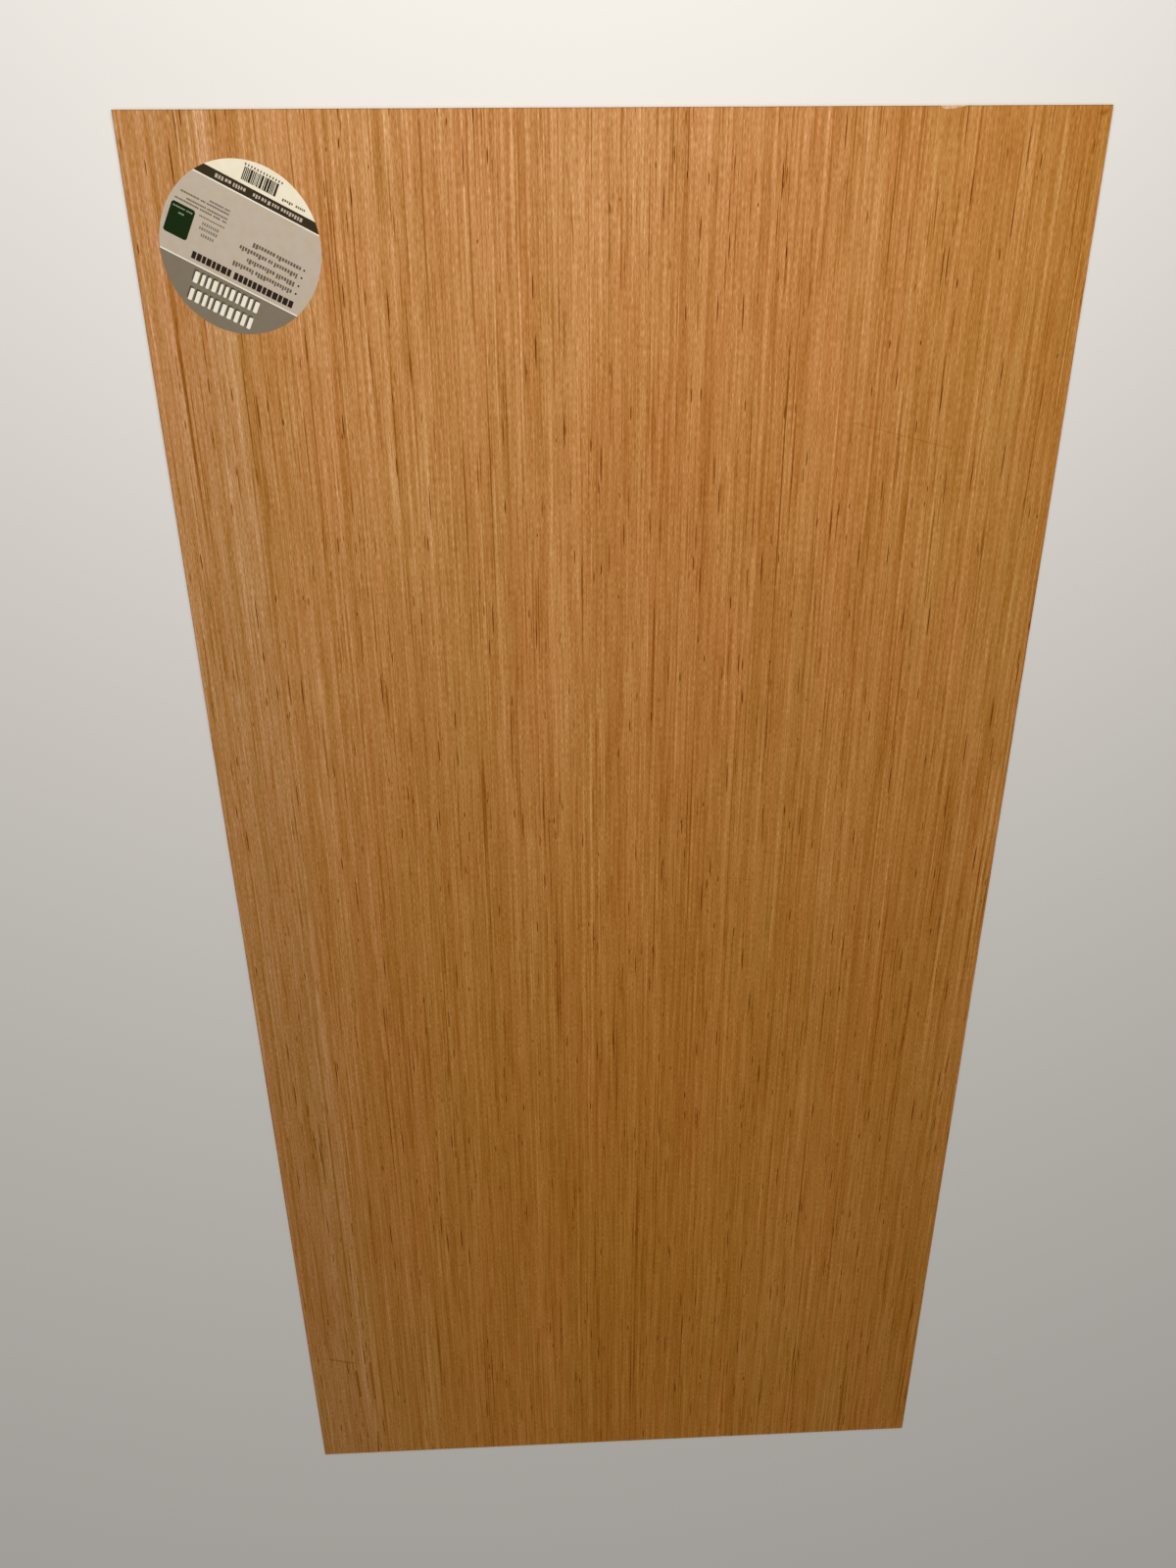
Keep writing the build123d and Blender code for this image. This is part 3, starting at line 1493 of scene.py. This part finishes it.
    def print_face(self, bm: bmesh.types.BMesh) -> None:
        """Lay the printed face as tiles that share their edges, each with the uppermost ink over it.

        Args:
            bm: The mesh that gets the tiles.
        """
        shapes = [self.disc(), *self.patches()]
        corners: list[Vector] = []
        outlines: list[list[int]] = []
        for shape in shapes:
            outlines.append([len(corners) + i for i in range(len(shape.outline))])
            corners.extend(Vector(point) for point in shape.outline)
        laid = delaunay_2d_cdt(corners, [], outlines, TILES_INSIDE_OUTLINES, TILE_MERGE_GAP)
        points, _, tiles, _, _, owners = laid
        turn = Matrix.Rotation(self.turn, 2)
        spots = [turn @ point * MM + self.centre.to_2d() for point in points]
        verts = [bm.verts.new((spot.x, spot.y, self.high)) for spot in spots]
        for tile, owned in zip(tiles, owners):
            if 0 in owned:
                face = bm.faces.new([verts[i] for i in tile])
                face.material_index = shapes[max(owned)].ink.value
        bmesh.ops.delete(bm, geom=[v for v in bm.verts if not v.link_faces], context="VERTS")

    def close(self, bm: bmesh.types.BMesh) -> None:
        """Give the printed face its thickness and its back.

        Args:
            bm: The mesh that holds the printed face.
        """
        rim = [edge for edge in bm.edges if edge.is_boundary]
        foot = {}
        for vert in (vert for edge in rim for vert in edge.verts):
            if vert not in foot:
                foot[vert] = bm.verts.new((vert.co.x, vert.co.y, self.low))
        lower_rim = []
        for first, second in [tuple(edge.verts) for edge in rim]:
            bm.faces.new((first, second, foot[second], foot[first]))
            lower_rim.append(bm.edges.get((foot[first], foot[second])))
        bmesh.ops.triangle_fill(bm, edges=lower_rim, use_beauty=True)
        for face in bm.faces:
            if face.normal.z < 0.5:
                face.material_index = Ink.BARE.value

    def chart(self, bm: bmesh.types.BMesh) -> None:
        """Lay out the bake map: the printed face large, the back small and the rim as a strip.

        Args:
            bm: The finished mesh.
        """
        layer = bm.loops.layers.uv.new(BAKE_MAP)
        for face in bm.faces:
            middle = face.calc_center_median() - self.centre
            is_rim = abs(face.normal.z) < 0.5
            across, up, reach = self.disc_uv if face.normal.z > 0.5 else self.back_uv
            for loop in face.loops:
                off = (loop.vert.co - self.centre).to_2d() / self.radius
                if is_rim:
                    turned = Matrix.Rotation(-math.atan2(middle.y, middle.x), 2) @ off
                    angle = math.atan2(middle.y, middle.x) + math.atan2(turned.y, turned.x)
                    side = self.rim_uv[loop.vert.co.z > self.centre.z]
                    loop[layer].uv = (side, self.rim_uv_middle + self.rim_uv_reach * angle / math.pi)
                else:
                    loop[layer].uv = (across + reach * off.x, up + reach * off.y)

    def build(self, finishes: dict[Ink, bpy.types.Material]) -> bpy.types.Object:
        """Make the label and put it in the place of its solid.

        Args:
            finishes: The material of each ink.

        Returns:
            The label.
        """
        bm = bmesh.new()
        self.print_face(bm)
        self.close(bm)
        bmesh.ops.recalc_face_normals(bm, faces=bm.faces)
        self.chart(bm)
        label = show("printed_label", finish_mesh(bm, "printed_label", [finishes[ink] for ink in Ink]))
        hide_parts(LABEL_NODE)
        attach(label, BODY)
        return label


@dataclass
class ViewCamera:
    """The camera, placed as the sheet is seen: low over the labelled end and looking down its length."""

    above_face: Vector = Vector((-0.0547, 0.5346, 0.8062))
    looks_at: Vector = Vector((-0.0233, 0.1569, 0.0))
    up_hint: Vector = Vector((0.0084, 1.0, 0.0))
    lens_mm: float = 26.46
    film_mm: float = 36.0

    def build(self, face_height: float) -> bpy.types.Object:
        """Make the camera and set it as the scene's.

        Args:
            face_height: How high the sheet's face lies.

        Returns:
            The camera.
        """
        data = bpy.data.cameras.new("view_camera")
        data.lens = self.lens_mm
        data.sensor_width = self.film_mm
        data.clip_start = 0.01
        camera = bpy.data.objects.new("view_camera", data)
        bpy.context.scene.collection.objects.link(camera)
        forward = (self.looks_at - self.above_face).normalized()
        right = forward.cross(self.up_hint).normalized()
        up = right.cross(forward)
        turn = Matrix((right, up, -forward)).transposed()
        place = self.above_face + Vector((0, 0, face_height))
        camera.matrix_world = Matrix.Translation(place) @ turn.to_4x4()
        bpy.context.scene.camera = camera
        return camera


@dataclass(frozen=True)
class Lamp:
    """A square soft box."""

    name: str
    place: tuple[float, float, float]
    aim: tuple[float, float, float]
    side: float
    watts: float

    def build(self) -> bpy.types.Object:
        """Make the lamp and turn it to its aim.

        Returns:
            The lamp.
        """
        data = bpy.data.lights.new(self.name, "AREA")
        data.shape = "SQUARE"
        data.size = self.side
        data.energy = self.watts
        lamp = bpy.data.objects.new(self.name, data)
        lamp.location = self.place
        lamp.rotation_euler = (Vector(self.aim) - Vector(self.place)).to_track_quat("-Z", "Y").to_euler()
        bpy.context.scene.collection.objects.link(lamp)
        return lamp


@dataclass
class Studio:
    """The plain floor, the even sky and the lamps."""

    floor_reach: float = 30.0
    floor_colour: Colour = screen_colour(188, 184, 178)
    floor_roughness: float = 0.9
    floor_specular: float = 0.1
    sky_level: float = 0.12
    lamps: tuple[Lamp, ...] = (
        Lamp("end_box", place=(-0.03, 1.0, 0.8), aim=(-0.03, 1.0, 0.0), side=0.8, watts=11.5),
        Lamp("overhead_box", place=(-0.2, 0.1, 3.6), aim=(-0.2, 0.1, 0.0), side=3.0, watts=94.0),
    )

    def build(self) -> None:
        """Make the floor, the sky and the lamps, and set the view transform."""
        bpy.context.scene.view_settings.view_transform = "Standard"
        self.build_floor()
        self.build_sky()
        for lamp in self.lamps:
            lamp.build()

    def build_floor(self) -> None:
        """Lay the floor under the sheet."""
        reach = self.floor_reach
        mesh = bpy.data.meshes.new("floor")
        corners = [(-reach, -reach, 0), (reach, -reach, 0), (reach, reach, 0), (-reach, reach, 0)]
        mesh.from_pydata(corners, [], [(0, 1, 2, 3)])
        floor = show("floor", mesh)
        material, _, shader = surface("pale_floor")
        shader.inputs["Base Color"].default_value = self.floor_colour
        shader.inputs["Roughness"].default_value = self.floor_roughness
        shader.inputs["Specular IOR Level"].default_value = self.floor_specular
        mesh.materials.append(material)

    def build_sky(self) -> None:
        """Light everything a little from all round, with a pale background beyond the floor."""
        world = bpy.data.worlds.new("even_sky")
        world.use_nodes = True
        bpy.context.scene.world = world
        w = Wiring(world.node_tree)
        light = world.node_tree.nodes["Background"]
        light.inputs["Color"].default_value = (1.0, 1.0, 1.0, 1.0)
        light.inputs["Strength"].default_value = self.sky_level
        seen = w.node("ShaderNodeBackground")
        seen.inputs["Color"].default_value = self.floor_colour
        rays = w.node("ShaderNodeLightPath")
        blend = w.node("ShaderNodeMixShader")
        w.feed(blend.inputs["Fac"], rays.outputs["Is Camera Ray"])
        w.feed(blend.inputs[1], light.outputs[0])
        w.feed(blend.inputs[2], seen.outputs[0])
        w.feed(world.node_tree.nodes["World Output"].inputs["Surface"], blend.outputs[0])


def sheet_finishes(effects: Effects, stack: PlyStack) -> dict[SheetPart, bpy.types.Material]:
    """Make the sheet's materials.

    Args:
        effects: The shared node groups.
        stack: The sheet's lay-up.

    Returns:
        The material of each surface.
    """
    scuffs = (
        Mark((-285.0, -468.0), (-263.0, -474.5), width=3.4, tone=-0.55),
        Mark((160.0, 423.0), (230.0, 405.0), width=1.4, tone=-0.2),
        Mark((115.0, 93.0), (150.0, 88.0), width=1.4, tone=-0.22),
        Mark((90.0, 70.0), (110.0, 67.0), width=1.4, tone=-0.22),
        Mark((298.5, 605.5), (301.5, 606.5), width=5.0, tone=-0.45),
        Mark((-247.6, -578.0), (-249.0, -609.0), width=3.2, tone=-0.7),
        Mark((-261.3, -487.0), (-260.3, -523.0), width=4.0, tone=-0.75),
        Mark((-246.2, -475.0), (-246.3, -527.0), width=4.0, tone=-0.6),
    )
    # The first two shifts pale and cool the face towards the left edge, which is a painted sheen. The others
    # make the wood less or more yellow in broad bands.
    colour_and_sheen_shifts = (
        Shift(-75.0, -285.0, 0.68),
        Shift(-235.0, -258.0, 0.3),
        Shift(-95.0, 10.0, -0.25),
        Shift(70.0, 200.0, 0.3),
        Shift(190.0, 290.0, 0.15),
    )
    face_wood, back_wood = screen_colour(147, 93, 26), screen_colour(152, 108, 58)
    finishes = {
        SheetPart.FACE: VeneerFinish("face_veneer", face_wood, seed=21.4, marks=scuffs, colour_and_sheen_shifts=colour_and_sheen_shifts),
        SheetPart.BACK: VeneerFinish("back_veneer", back_wood, seed=8.6, pore_amount=1.3),
        SheetPart.LONG_EDGE: EdgeFinish("long_edge", Along.WITH_GRAIN, stack),
        SheetPart.END_EDGE: EdgeFinish("end_edge", Along.ACROSS_GRAIN, stack),
        SheetPart.TORN: TornFinish("torn_fibre", screen_colour(174, 136, 100)),
        # The split's walls and floor are dark brown: painted shade in the narrow crack.
        SheetPart.SPLIT: TornFinish("split_fibre_painted_shade", screen_colour(104, 54, 18)),
    }
    return {part: finish.build(effects) for part, finish in finishes.items()}


def label_finishes(effects: Effects) -> dict[Ink, bpy.types.Material]:
    """Make the label's materials.

    Args:
        effects: The shared node groups.

    Returns:
        The material of each ink.
    """
    colours = {
        Ink.BARE: (191, 181, 159),
        Ink.FIELD: (152, 139, 123),
        Ink.HEAD: (101, 91, 76),
        Ink.HEAD_SHADE: (78, 69, 56),
        Ink.HEAD_SHADOW: (54, 46, 36),
        Ink.WHITE: (192, 184, 168),
        Ink.BAND: (42, 33, 18),
        Ink.BLACK: (33, 23, 13),
        Ink.GREY: (80, 69, 56),
        Ink.PALE_GREY: (100, 90, 76),
        Ink.GREEN: (14, 29, 5),
        Ink.PALE_GREEN: (116, 124, 98),
    }
    made = {}
    for ink, shares in colours.items():
        made[ink] = PrintFinish(f"label_{ink.name.lower()}", screen_colour(*shares)).build(effects)
    return made


def main() -> None:
    """Build every piece, in order, and note how many faces each dressed piece has."""
    logging.basicConfig(level=logging.INFO, format="%(name)s: %(message)s")
    bpy.context.view_layer.update()
    effects = Effects()
    panel = SheetPanel()
    Studio().build()
    ViewCamera().build(panel.highest.z)
    log.info("studio and camera are set")
    sheet = panel.build(sheet_finishes(effects, panel.stack))
    log.info("%s: %d faces", sheet.name, len(sheet.data.polygons))
    label = PaperLabel().build(label_finishes(effects))
    log.info("%s: %d faces", label.name, len(label.data.polygons))
    bpy.context.view_layer.update()


if __name__ == "__main__":
    main()
